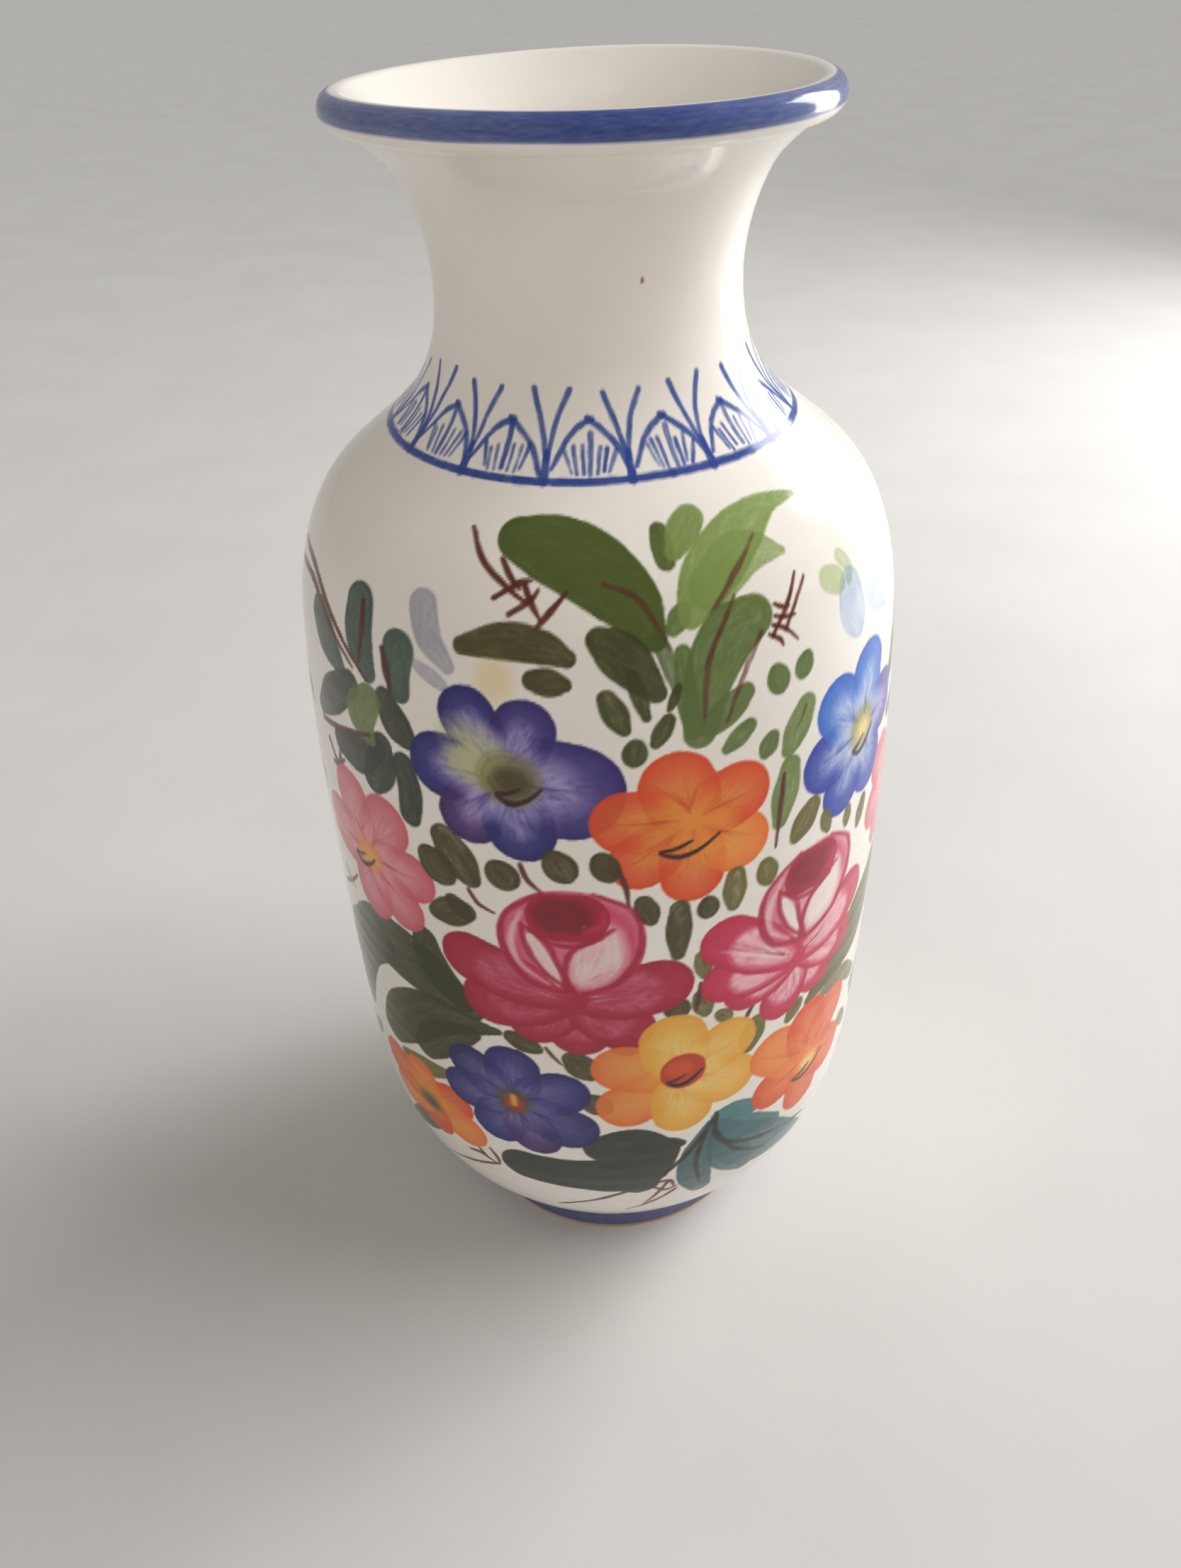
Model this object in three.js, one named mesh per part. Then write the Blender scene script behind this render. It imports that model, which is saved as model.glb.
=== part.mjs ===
// A tin-glazed pottery vase: thrown clay sections luted one on another over a turned foot.
// Every section is turned about +Z. Millimetres, with the origin at the middle of the foot's flat face.
import * as THREE from "three";
import { mergeVertices } from "three/addons/utils/BufferGeometryUtils.js";

const FACETS_ROUND = 48;
const POINTS_PER_SPAN = 2;

const OVERALL_HEIGHT = 280;
const BARREL_WALL = 5;
const COLLAR_WALL = 4.6;

// Room for the slip between two luted faces, and the rebate that centres the two halves of the barrel.
const SLIP_GAP = 0.3;
const REBATE_HEIGHT = 3.5;

const FOOT_HEIGHT = 9;
const FOOT_TOP_RADIUS = 44.2;
const FOOT_BOTTOM_RADIUS = 43.2;
const FOOT_BORE_RADIUS = 36.5;
const FOOT_CHAMFER = 0.8;

const FLOOR_RADIUS = 39.9;
const FLOOR_THICKNESS = 5.7;
const FLOOR_TOP = 12;

const LIP_OUTER_RADIUS = 45.8;
const LIP_ROLL_RADIUS = 2.9;
const LIP_UNDERSIDE_ANGLE = -90;
const LIP_INSIDE_ANGLE = 120;
const LIP_STEPS = 7;

// Stations up the outside of the barrel, as [radius, height]. The belly seam is at the widest one.
const BELLY_RADIUS = 66.9;
const BELLY_HEIGHT = 118;
const CREASE_RADIUS = 41;
const CREASE_HEIGHT = 222.6;
const BARREL_STATIONS = [
  [FOOT_TOP_RADIUS, FOOT_HEIGHT + SLIP_GAP],
  [53.4, 22.5],
  [61.4, 37],
  [65.6, 56],
  [66.7, 84],
  [BELLY_RADIUS, BELLY_HEIGHT],
  [66.6, 147],
  [65.3, 173],
  [62.4, 195],
  [55.2, 210.6],
  [CREASE_RADIUS, CREASE_HEIGHT],
];

// Stations up the outside of the collar, from the crease at the shoulder to the flared mouth.
const COLLAR_STATIONS = [
  [CREASE_RADIUS, CREASE_HEIGHT],
  [34.6, 229.2],
  [30.6, 237.6],
  [29.3, 248.2],
  [30.7, 258.2],
  [34.6, 267.4],
  [41.2, 273.6],
];

const WHITE_GLAZE = { color: 0xe8dfd0, roughness: 0.15, metalness: 0 };
const BLUE_GLAZE = { color: 0x2b3a78, roughness: 0.15, metalness: 0 };
const BARE_CLAY = { color: 0xc9a987, roughness: 0.85, metalness: 0 };

function at(radius, height) {
  return new THREE.Vector2(radius, height);
}

// Points up a wall through its stations, each moved square to the wall, toward the axis, by an inset.
function wallPoints(stations, inset) {
  const curve = new THREE.SplineCurve(stations.map(([radius, height]) => at(radius, height)));
  const steps = (stations.length - 1) * POINTS_PER_SPAN;
  return Array.from({ length: steps + 1 }, (_, step) => {
    const tangent = curve.getTangent(step / steps);
    return curve.getPoint(step / steps).addScaledVector(at(-tangent.y, tangent.x), inset);
  });
}

// The point where a rising outline passes a height.
function pointAtHeight(points, height) {
  const above = points.findIndex((point) => point.y > height);
  const [before, after] = points.slice(above - 1, above + 1);
  return before.clone().lerp(after, (height - before.y) / (after.y - before.y));
}

// The stretches of a rising outline above and below a height, where it is cut level.
function above(points, height) {
  return [pointAtHeight(points, height), ...points.filter((point) => point.y > height + SLIP_GAP)];
}

function below(points, height) {
  return [...points.filter((point) => point.y < height - SLIP_GAP), pointAtHeight(points, height)];
}

// A point moved towards another, or away from it, by the room for the slip.
function slipTowards(point, other) {
  return point.clone().add(other.clone().sub(point).setLength(SLIP_GAP));
}

function slipAwayFrom(point, other) {
  return point.clone().add(point.clone().sub(other).setLength(SLIP_GAP));
}

// Turns an outline, drawn up the outside and down the inside, about +Z. An outline that starts on the
// axis ends there too, and any other closes on its first point.
function turned(outline) {
  const profile = outline[0].x > 0 ? [...outline, outline[0]] : outline;
  const lathe = new THREE.LatheGeometry(profile, FACETS_ROUND);
  lathe.deleteAttribute("normal");
  lathe.deleteAttribute("uv");
  return mergeVertices(lathe.rotateX(Math.PI / 2));
}

// The turned ring under the pot, with a flat foot and a ledge that the floor drops on to.
function footRing() {
  const ledge = FLOOR_TOP - FLOOR_THICKNESS - SLIP_GAP;
  return turned([
    at(FOOT_BORE_RADIUS, 0),
    at(FOOT_BOTTOM_RADIUS - FOOT_CHAMFER, 0),
    at(FOOT_BOTTOM_RADIUS, FOOT_CHAMFER),
    at(FOOT_TOP_RADIUS, FOOT_HEIGHT),
    at(FLOOR_RADIUS + SLIP_GAP, FOOT_HEIGHT),
    at(FLOOR_RADIUS + SLIP_GAP, ledge),
    at(FOOT_BORE_RADIUS, ledge),
  ]);
}

// The flat floor, which stands proud of the foot ring and centres the barrel on it.
function baseDisc() {
  const underside = FLOOR_TOP - FLOOR_THICKNESS;
  return turned([
    at(0, underside),
    at(FLOOR_RADIUS, underside),
    at(FLOOR_RADIUS, FLOOR_TOP),
    at(0, FLOOR_TOP),
  ]);
}

const barrelOutside = wallPoints(BARREL_STATIONS, 0);
const barrelInside = wallPoints(BARREL_STATIONS, BARREL_WALL);
const rebateRadius = BELLY_RADIUS - BARREL_WALL / 2;

// The lower half of the barrel, with the inner half of its wall raised as a spigot.
function lowerBody() {
  const spigotTop = BELLY_HEIGHT + REBATE_HEIGHT;
  return turned([
    ...below(barrelOutside, BELLY_HEIGHT),
    at(rebateRadius, BELLY_HEIGHT),
    at(rebateRadius, spigotTop),
    ...above(below(barrelInside, spigotTop), FLOOR_TOP + SLIP_GAP).reverse(),
    at(FLOOR_RADIUS + SLIP_GAP, FOOT_HEIGHT + SLIP_GAP),
  ]);
}

// The upper half of the barrel and its shoulder, which fits over the spigot.
function upperBody() {
  const bottom = BELLY_HEIGHT + SLIP_GAP;
  const overSpigot = bottom + REBATE_HEIGHT;
  return turned([
    ...above(barrelOutside, bottom),
    ...above(barrelInside, overSpigot).reverse(),
    at(rebateRadius + SLIP_GAP, overSpigot),
    at(rebateRadius + SLIP_GAP, bottom),
  ]);
}

const collarOutside = wallPoints(COLLAR_STATIONS, 0);
const collarInside = wallPoints(COLLAR_STATIONS, COLLAR_WALL);

// The waisted collar, seated on the shoulder's bevel at the crease, and open in the flare.
function neck() {
  const [creaseOutside, ...outside] = collarOutside;
  const [creaseInside, ...inside] = collarInside;
  return turned([
    slipTowards(creaseOutside, outside[0]),
    ...outside,
    ...inside.toReversed(),
    slipTowards(creaseInside, inside[0]),
  ]);
}

// The rolled lip that finishes the flare: a bead that hangs over the outside and runs in to the inside.
function rimRoll() {
  const centre = at(LIP_OUTER_RADIUS - LIP_ROLL_RADIUS, OVERALL_HEIGHT - LIP_ROLL_RADIUS);
  const bead = Array.from({ length: LIP_STEPS + 1 }, (_, step) => {
    const turn = THREE.MathUtils.mapLinear(step, 0, LIP_STEPS, LIP_UNDERSIDE_ANGLE, LIP_INSIDE_ANGLE);
    const angle = THREE.MathUtils.degToRad(turn);
    return centre.clone().add(at(Math.cos(angle), Math.sin(angle)).multiplyScalar(LIP_ROLL_RADIUS));
  });
  return turned([
    slipAwayFrom(collarOutside.at(-1), collarOutside.at(-2)),
    ...bead,
    slipAwayFrom(collarInside.at(-1), collarInside.at(-2)),
  ]);
}

function named(name, geometry, glaze) {
  const mesh = new THREE.Mesh(geometry, new THREE.MeshStandardMaterial(glaze));
  mesh.name = name;
  return mesh;
}

const vase = new THREE.Group();
vase.add(
  named("foot_ring", footRing(), BLUE_GLAZE),
  named("base_disc", baseDisc(), BARE_CLAY),
  named("lower_body", lowerBody(), WHITE_GLAZE),
  named("upper_body", upperBody(), WHITE_GLAZE),
  named("neck", neck(), WHITE_GLAZE),
  named("rim_roll", rimRoll(), BLUE_GLAZE),
);

export default vase;
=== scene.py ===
"""A hand-painted talavera vase, drawn over its CAD sections.

Each section of clay is turned again at a fine grain. The painting is laid on stroke by stroke: the
outside of the pot is a sheet of belly-wide millimetres round and wall millimetres up, each stroke is a
brush path on that sheet, and every vertex of the fine surface carries the colour that the sheet has
there. A place on the sheet is (degrees round from the front, millimetres up the wall from the foot).
"""
import math

import bpy
import numpy as np
from mathutils import Matrix, Vector


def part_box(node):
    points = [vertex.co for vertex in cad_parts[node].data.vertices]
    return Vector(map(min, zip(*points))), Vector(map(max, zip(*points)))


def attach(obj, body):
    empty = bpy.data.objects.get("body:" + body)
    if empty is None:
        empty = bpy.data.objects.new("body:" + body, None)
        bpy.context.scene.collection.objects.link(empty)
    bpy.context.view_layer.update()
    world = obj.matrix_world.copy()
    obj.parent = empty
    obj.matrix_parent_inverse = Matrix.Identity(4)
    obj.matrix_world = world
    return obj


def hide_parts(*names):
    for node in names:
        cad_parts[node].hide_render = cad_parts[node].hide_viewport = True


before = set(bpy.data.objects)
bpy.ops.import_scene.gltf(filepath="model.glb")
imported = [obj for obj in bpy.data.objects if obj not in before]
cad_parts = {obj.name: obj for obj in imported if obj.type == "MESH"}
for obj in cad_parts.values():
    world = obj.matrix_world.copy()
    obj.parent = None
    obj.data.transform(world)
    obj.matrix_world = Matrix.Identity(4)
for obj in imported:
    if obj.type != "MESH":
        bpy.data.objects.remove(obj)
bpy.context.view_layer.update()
random = np.random.default_rng(11)

MM = 0.001
WHOLE_TURN = 2 * math.pi

# The pot, in millimetres. Heights and radii that the CAD sections state are read from their boxes.
FOOT_TOP_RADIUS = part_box("foot_ring")[1][0] / MM
FOOT_BOTTOM_RADIUS = 43.2
FOOT_BORE_RADIUS = 36.5
WALL_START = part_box("lower_body")[0][2] / MM
BELLY_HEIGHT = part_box("upper_body")[0][2] / MM
BELLY_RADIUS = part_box("upper_body")[1][0] / MM
LIP_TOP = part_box("rim_roll")[1][2] / MM
LIP_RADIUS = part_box("rim_roll")[1][0] / MM
LIP_ROLL = 2.9
FLOOR_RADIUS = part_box("base_disc")[1][0] / MM
FLOOR_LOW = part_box("base_disc")[0][2] / MM
FLOOR_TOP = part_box("base_disc")[1][2] / MM
BARREL_WALL = 5
COLLAR_WALL = 4.6
SLIP_GAP = 0.3

# Stations up the outside of the wall, as (radius, height).
CREASE = (41, 222.6)
BARREL = [(FOOT_TOP_RADIUS, WALL_START), (53.4, 22.5), (61.4, 37), (65.6, 56), (66.7, 84), (66.9, 118),
          (66.6, 147), (65.3, 173), (62.4, 195), (55.2, 210.6), CREASE]
COLLAR = [CREASE, (34.6, 229.2), (30.6, 237.6), (29.3, 248.2), (30.7, 258.2), (34.6, 267.4), (41.2, 273.6)]

# What throwing by hand leaves: a wall a hair out of round, finger rings, and a lip that sags.
OVAL_ERROR = 0.16
THREE_SIDED_ERROR = 0.09
FINGER_RING = 0.02
LIP_SAG = 0.28
SAG_START = 258
SAG_SPAN = 20

# The grain of the fine surface: columns are closer together at the painted front.
COLUMNS = 960
FRONT_CROWDING = 0.3
ROW_STEP = 0.4
INSIDE_STEP = 2.5
SPLINE_STEPS = 40


# ---------------------------------------------------------------- turned outlines

def spline(points, steps):
    """A smooth curve through points, with the same number of steps between every two."""
    known = np.asarray(points, float)
    padded = np.vstack([known[:1], known, known[-1:]])
    share = np.linspace(0, 1, steps, endpoint=False)[:, None]
    spans = []
    for before, start, end, after in zip(padded, padded[1:], padded[2:], padded[3:]):
        leaving = (end - before) / 2
        arriving = (after - start) / 2
        cubic = 2 * start - 2 * end + leaving + arriving
        square = 3 * end - 3 * start - 2 * leaving - arriving
        spans.append(cubic * share**3 + square * share**2 + leaving * share + start)
    return np.vstack(spans + [known[-1:]])


def lengths_along(points):
    """How far along an outline each of its points lies."""
    return np.concatenate([[0], np.cumsum(np.hypot(*np.diff(points, axis=0).T))])


def respaced(points, step):
    """The same outline with its points about one step apart."""
    along = lengths_along(points)
    even = np.linspace(0, along[-1], max(2, round(along[-1] / step) + 1))
    return np.stack([np.interp(even, along, points[:, axis]) for axis in (0, 1)], axis=1)


def moved_in(points, distance):
    """The outline moved square to itself, toward the axis."""
    tangent = np.gradient(points, axis=0)
    tangent /= np.linalg.norm(tangent, axis=1, keepdims=True)
    return points + distance * np.stack([-tangent[:, 1], tangent[:, 0]], axis=1)


def cut_at(points, height):
    """Splits a rising outline at a height; both parts keep the point there."""
    radius = np.interp(height, points[:, 1], points[:, 0])
    edge = [[radius, height]]
    low = points[points[:, 1] < height - 1e-6]
    high = points[points[:, 1] > height + 1e-6]
    return np.vstack([low, edge]), np.vstack([edge, high])


def column_angles():
    """Angles round the pot, from the back through the front at 0 to the back again."""
    even = np.linspace(-math.pi, math.pi, COLUMNS, endpoint=False)
    return even - FRONT_CROWDING * np.sin(even)


ANGLES = column_angles()


def thrown(radius, height):
    """Where a point of the ideal pot really is: hand throwing leaves it a hair out of round."""
    oval = OVAL_ERROR * np.cos(2 * ANGLES + 0.7)
    three_sided = THREE_SIDED_ERROR * np.cos(3 * ANGLES - 0.04 * height)
    finger_rings = FINGER_RING * np.sin(1.15 * height + 0.8 * np.cos(ANGLES))
    real_radius = radius + (oval + three_sided + finger_rings) * min(1, radius / FOOT_TOP_RADIUS)
    sag = LIP_SAG * np.cos(2 * ANGLES + 1.1) * np.clip((height - SAG_START) / SAG_SPAN, 0, 1)
    return np.stack([real_radius * np.sin(ANGLES), -real_radius * np.cos(ANGLES), height + sag], axis=1)


def ring_mesh(name, outline):
    """The surface of a closed outline turned about the axis, row by row along the outline."""
    rows = len(outline)
    places = np.vstack([thrown(radius, height) for radius, height in outline]) * MM
    row, column = np.meshgrid(np.arange(rows), np.arange(COLUMNS), indexing="ij")
    next_row = (row + 1) % rows
    next_column = (column + 1) % COLUMNS
    corners = [row * COLUMNS + column, row * COLUMNS + next_column,
               next_row * COLUMNS + next_column, next_row * COLUMNS + column]
    faces = np.stack(corners, axis=-1).reshape(-1, len(corners))
    mesh = bpy.data.meshes.new(name)
    mesh.vertices.add(len(places))
    mesh.vertices.foreach_set("co", places.ravel())
    mesh.loops.add(faces.size)
    mesh.loops.foreach_set("vertex_index", faces.ravel())
    mesh.polygons.add(len(faces))
    mesh.polygons.foreach_set("loop_start", np.arange(0, faces.size, len(corners)))
    mesh.polygons.foreach_set("use_smooth", np.ones(len(faces), bool))
    mesh.update(calc_edges=True)
    return mesh


def turned(node, slot_name, outline, colours, sharp_rows):
    """The fine piece for a CAD node: colours holds red, green, blue and bareness for every vertex."""
    mesh = ring_mesh(node + "_fine", outline)
    mark_sharp(mesh, sharp_rows)
    store_paint(mesh, colours.reshape(-1, colours.shape[-1]))
    mesh.materials.append(fired_glaze(slot_name))
    piece = bpy.data.objects.new(mesh.name, mesh)
    bpy.context.scene.collection.objects.link(piece)
    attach(piece, "root")
    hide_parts(node)


def mark_sharp(mesh, rows):
    """Keeps the shading crisp along the corner rows of a turned outline."""
    ends = np.empty(len(mesh.edges) * 2, np.int32)
    mesh.edges.foreach_get("vertices", ends)
    end_rows = ends.reshape(-1, 2) // COLUMNS
    sharp = (end_rows[:, 0] == end_rows[:, 1]) & np.isin(end_rows[:, 0], list(rows))
    mesh.attributes.new("sharp_edge", "BOOLEAN", "EDGE").data.foreach_set("value", sharp)


def store_paint(mesh, colours):
    """Keeps the fired colour in "paint" and the bareness of the clay in "bare"."""
    linear = np.ones((len(mesh.vertices), 4), np.float32)
    linear[:, :3] = colours[:, :3] ** SCREEN_GAMMA
    mesh.attributes.new("paint", "FLOAT_COLOR", "POINT").data.foreach_set("color", linear.ravel())
    bareness = colours[:, 3].astype(np.float32)
    mesh.attributes.new("bare", "FLOAT", "POINT").data.foreach_set("value", bareness)


# ---------------------------------------------------------------- pigments and brush

SCREEN_GAMMA = 2.2


def pigment(red, green, blue):
    """A fired colour as it looks on a screen, from 0 to 1."""
    return np.array([red, green, blue]) / 255


WHITE = pigment(243, 239, 232)
CLAY = pigment(196, 158, 118)
COBALT = pigment(54, 70, 136)
BAND_BLUE = pigment(46, 68, 146)
# A deeper blue used only in the two flowers left of the front: their own blue with painted shade added.
SHADED_DEEP_BLUE = pigment(40, 38, 122)
FLOWER_BLUE = pigment(52, 74, 178)
FLOWER_SKY = pigment(58, 112, 206)
FLOWER_VIOLET = pigment(74, 56, 158)
PLUM = pigment(70, 40, 112)
LILAC = pigment(176, 166, 214)
PALE_BLUE = pigment(206, 216, 236)
CRIMSON = pigment(168, 20, 58)
WINE = pigment(120, 8, 36)
ROSE = pigment(204, 46, 86)
BLUSH = pigment(250, 206, 212)
SOFT_PINK = pigment(218, 112, 128)
ORANGE = pigment(228, 90, 38)
LIGHT_ORANGE = pigment(242, 134, 54)
YELLOW = pigment(238, 178, 66)
PALE_YELLOW = pigment(244, 218, 140)
PALE_GREEN = pigment(190, 192, 150)
RUST = pigment(190, 52, 28)
LEAF = pigment(76, 90, 36)
LEAF_DARK = pigment(54, 56, 24)
LEAF_LIGHT = pigment(122, 146, 76)
LEAF_MID = pigment(90, 110, 54)
OLIVE = pigment(108, 102, 48)
BROWN_GREEN = pigment(72, 66, 32)
TEAL = pigment(56, 114, 118)
TEAL_GREY = pigment(62, 102, 112)
SAGE = pigment(64, 84, 72)
SHADOW_GREEN = pigment(46, 52, 40)
BROWN = pigment(88, 38, 28)
DARK_LINE = pigment(48, 20, 18)
GREY_BLUE = pigment(120, 124, 150)


def smooth_noise(size, cell):
    """A square of soft random values from 0 to 1 that repeats at its edges."""
    coarse = random.random((size // cell, size // cell))
    place = np.arange(size) / cell
    low = np.floor(place).astype(int)
    share = place - low
    share = share * share * (3 - 2 * share)
    high = (low + 1) % len(coarse)
    low = low % len(coarse)
    down = coarse[low] * (1 - share)[:, None] + coarse[high] * share[:, None]
    return down[:, low] * (1 - share) + down[:, high] * share


# The brush, in millimetres. FAN_REACH is how far out from a heart the bristle marks are spaced as they
# are on a straight stroke, and THICK is the power that deepens a pigment laid on twice.
GRAIN_SIZE = 256
GRAIN = 0.6 * smooth_noise(GRAIN_SIZE, 2) + 0.4 * smooth_noise(GRAIN_SIZE, 8)
HAIR_STEP = 0.21
HAIR_LENGTH = 0.75
EDGE_SOFTNESS = 0.42
RAGGEDNESS = 0.3
POOL_WIDTH = 0.55
HOLLOW_WIDTH = 1.7
FAN_REACH = 9
THICK = 1.45
VEINED_SHARE = 0.4


def grain_at(across, along, start):
    """Bristle marks: quick to change across the stroke and slow to change along it."""
    first = (across / HAIR_STEP + start).astype(int) % GRAIN_SIZE
    second = (along / HAIR_LENGTH + 3 * start).astype(int) % GRAIN_SIZE
    return GRAIN[first, second]


class Sheet:
    """The outside of the wall rolled out flat, with one colour for each vertex of the fine surface."""

    def __init__(self, outline):
        self.up = lengths_along(outline)
        self.round = ANGLES * BELLY_RADIUS
        self.squeeze = (outline[:, 0] / BELLY_RADIUS)[:, None]
        self.colour = np.tile(WHITE, (len(outline), COLUMNS, 1))
        self.turn = 0

    def flat(self, points):
        """Places on the side that faces self.turn degrees round, in sheet millimetres."""
        places = np.asarray(points, float) + (self.turn, 0)
        return np.stack([np.radians(places[:, 0]) * BELLY_RADIUS, places[:, 1]], axis=1)

    def window(self, path, reach):
        """The rows and columns that a stroke can touch, and the places of their crossings."""
        middle = path[:, 0].mean()
        away = (self.round - middle + math.pi * BELLY_RADIUS) % (WHOLE_TURN * BELLY_RADIUS)
        away = away - math.pi * BELLY_RADIUS
        rows = np.flatnonzero((self.up > path[:, 1].min() - reach) & (self.up < path[:, 1].max() + reach))
        if not len(rows):
            return rows, rows, None, None
        wide = reach / self.squeeze[rows].min()
        left = path[:, 0].min() - middle - wide
        right = path[:, 0].max() - middle + wide
        columns = np.flatnonzero((away > left) & (away < right))
        x, y = np.meshgrid(away[columns] + middle, self.up[rows])
        return rows, columns, x, y


def smoothly(values, count):
    """A run of count values that passes through the given ones without corners."""
    knots = spline([(value, value) for value in values], 8)[:, 0] if len(values) > 2 else values
    return np.interp(np.linspace(0, 1, count), np.linspace(0, 1, len(knots)), knots)


def measured(path, half, x, y, squeeze):
    """How far each crossing lies outside a stroke and to its side, and how far along it as a share."""
    places = np.linspace(0, 1, len(path))
    outside = np.full(x.shape, np.inf)
    side = np.zeros(x.shape)
    along = np.zeros(x.shape)
    for index, (step_x, step_y) in enumerate(np.diff(path, axis=0)):
        rise_x = (x - path[index, 0]) * squeeze
        rise_y = y - path[index, 1]
        run_x = step_x * squeeze
        share = np.clip((rise_x * run_x + rise_y * step_y) / (run_x**2 + step_y**2 + 1e-9), 0, 1)
        off_x = rise_x - share * run_x
        off_y = rise_y - share * step_y
        off = np.hypot(off_x, off_y)
        here = off - (half[index] + share * (half[index + 1] - half[index]))
        closer = here < outside
        outside = np.where(closer, here, outside)
        side = np.where(closer, off * np.sign(run_x * off_y - step_y * off_x), side)
        along = np.where(closer, places[index] + share * (places[index + 1] - places[index]), along)
    return outside, side, along


def brush(sheet, points, widths, colour, load=(1, 1), opacity=0.92, edge=0.22, streak=0.3, steps=8,
          soft=EDGE_SOFTNESS, hollow=0, fan=None):
    """Paints one stroke along points, as wide in true millimetres as widths says at each of them.

    load is how full the brush is at the start and the end, edge how much pigment pools at the sides,
    soft how many millimetres the edge fades over, and hollow how thin the middle of the stroke is.
    The bristle marks run along the stroke, or out from the place called fan.
    """
    path = spline(sheet.flat(points), steps) if len(points) > 2 else sheet.flat(points)
    half = smoothly(widths, len(path)) / 2
    rows, columns, x, y = sheet.window(path, half.max() + soft)
    if not len(rows):
        return
    squeeze = sheet.squeeze[rows]
    outside, side, along = measured(path, half, x, y, squeeze)
    start = random.integers(0, 200)
    if fan is None:
        bristles = grain_at(side, along * lengths_along(path)[-1], start)
    else:
        fan_x, fan_y = sheet.flat([fan])[0]
        away_x = (x - fan_x) * squeeze
        away_y = y - fan_y
        bristles = grain_at(np.arctan2(away_x, away_y) * FAN_REACH, np.hypot(away_x, away_y), start)
    cover = np.clip(0.5 - (outside + RAGGEDNESS * (bristles - 0.5)) / soft, 0, 1)
    inward = np.minimum(outside, 0)
    pooled = (1 + edge * np.exp(inward / POOL_WIDTH)) * (1 - hollow * (1 - np.exp(inward / HOLLOW_WIDTH)))
    carried = load[0] + (load[1] - load[0]) * along
    amount = np.maximum(carried * pooled * (1 - streak * 2 * (bristles - 0.5)), 0)
    alpha = (cover * (1 - (1 - opacity) ** amount))[..., None]
    spot = np.ix_(rows, columns)
    sheet.colour[spot] = sheet.colour[spot] * (1 - alpha) + colour * alpha


def beside(place, right, up):
    """The place that is some belly millimetres right of another and some up the wall."""
    return (place[0] + math.degrees(right / BELLY_RADIUS), place[1] + up)


def jitter(size):
    """The unsteadiness of the hand, up to size either way."""
    return float(random.uniform(-size, size))


# ---------------------------------------------------------------- what the potter paints

def blob(sheet, place, wide, tall, colour, tilt=0, **look):
    """A filled oval, wide by tall millimetres, leaning tilt degrees to the right."""
    small, large = sorted((wide, tall))
    lean = math.radians(tilt + (90 if wide > tall else 0))
    reach = max(large - small, 0.2) / 2
    ends = [beside(place, way * reach * math.sin(lean), way * reach * math.cos(lean)) for way in (-1, 1)]
    brush(sheet, ends, [small, small], colour, **look)


def between(start, end, share):
    """The place part of the way from one to another."""
    return (start[0] + (end[0] - start[0]) * share, start[1] + (end[1] - start[1]) * share)


def petal(sheet, heart, tip, radius, colour, hollow=0.35):
    """A fat teardrop from the heart of a flower out to a round end, with pigment gathered at its rim."""
    path = [heart, between(heart, tip, 0.55), tip]
    widths = [radius * 0.9, radius * 1.95, radius * 2]
    brush(sheet, path, widths, colour, load=(0.85, 1.1), opacity=0.95, edge=0.4, streak=0.22,
          hollow=hollow, fan=heart)
    brush(sheet, path, widths, colour**THICK, load=(0, 1), opacity=0.5, edge=0.6, hollow=1, fan=heart)


def glow(sheet, heart, tip, radius, colour, opacity):
    """A pale, soft-edged wash in the inner half of a petal."""
    path = [between(heart, tip, share) for share in (0.05, 0.5, 0.9)]
    widths = [radius * 0.4, radius * 1.15, radius * 0.8]
    brush(sheet, path, widths, colour, load=(1, 0.5), opacity=opacity, edge=0, streak=0.95,
          soft=radius * 0.5, fan=heart)


def streaks(sheet, heart, tip, radius, colour, count, width=0.6, opacity=0.4, start=0.3):
    """Fine dry strokes that fan out along a petal, from about a share of the way to its tip."""
    for index in range(count):
        spread = (index - (count - 1) / 2) / max(count - 1, 1) * radius * 1.3
        end = beside(between(heart, tip, 1 + jitter(0.2)), spread + jitter(0.5), 0)
        brush(sheet, [between(heart, tip, start + jitter(0.12)), end], [width, width * 0.4], colour,
              load=(1, 0.2), opacity=opacity, streak=0.6)


def smile(sheet, place, wide, colour=DARK_LINE):
    """The two quick curved strokes that the potter signs each flower's heart with."""
    left = wide / 2
    curve = [beside(place, -left, 0.5), beside(place, -left * 0.4, -0.9), beside(place, left * 0.3, 0.1),
             beside(place, left, 2.9)]
    brush(sheet, curve, [0.8, 1.25, 1.05, 0.6], colour, opacity=0.96)
    short = [beside(place, -left, 1.0), beside(place, -left * 0.5, 1.2), beside(place, left * 0.05, 2.5)]
    brush(sheet, short, [0.7, 0.9, 0.5], colour, opacity=0.88)


def flower(sheet, heart, petals, colours, pale=None, shine=0.5, veins=None):
    """Round petals about a heart; petals holds (degrees, millimetres up, radius) for each tip."""
    for index, (degrees, up, radius) in enumerate(petals):
        petal(sheet, heart, (degrees, up), radius, colours[index % len(colours)])
    for degrees, up, radius in petals:
        if pale is not None:
            glow(sheet, heart, (degrees, up), radius, pale, shine)
        if veins is not None:
            streaks(sheet, heart, (degrees, up), radius, veins, 4)


def heart_of(sheet, place, wide, tall, halo, core):
    """The smeared heart of a flower: a soft halo with a fuller patch low in it."""
    blob(sheet, place, wide, tall, halo, opacity=0.7, soft=3.4, streak=0.8)
    low = beside(place, 0.4, -0.8)
    blob(sheet, low, wide * 0.6, tall * 0.55, core, opacity=0.85, soft=2.6, streak=0.7)


# The size, in millimetres, of the bud whose strokes rosebud lists.
BUD_WIDTH = 30
BUD_HEIGHT = 29


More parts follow.
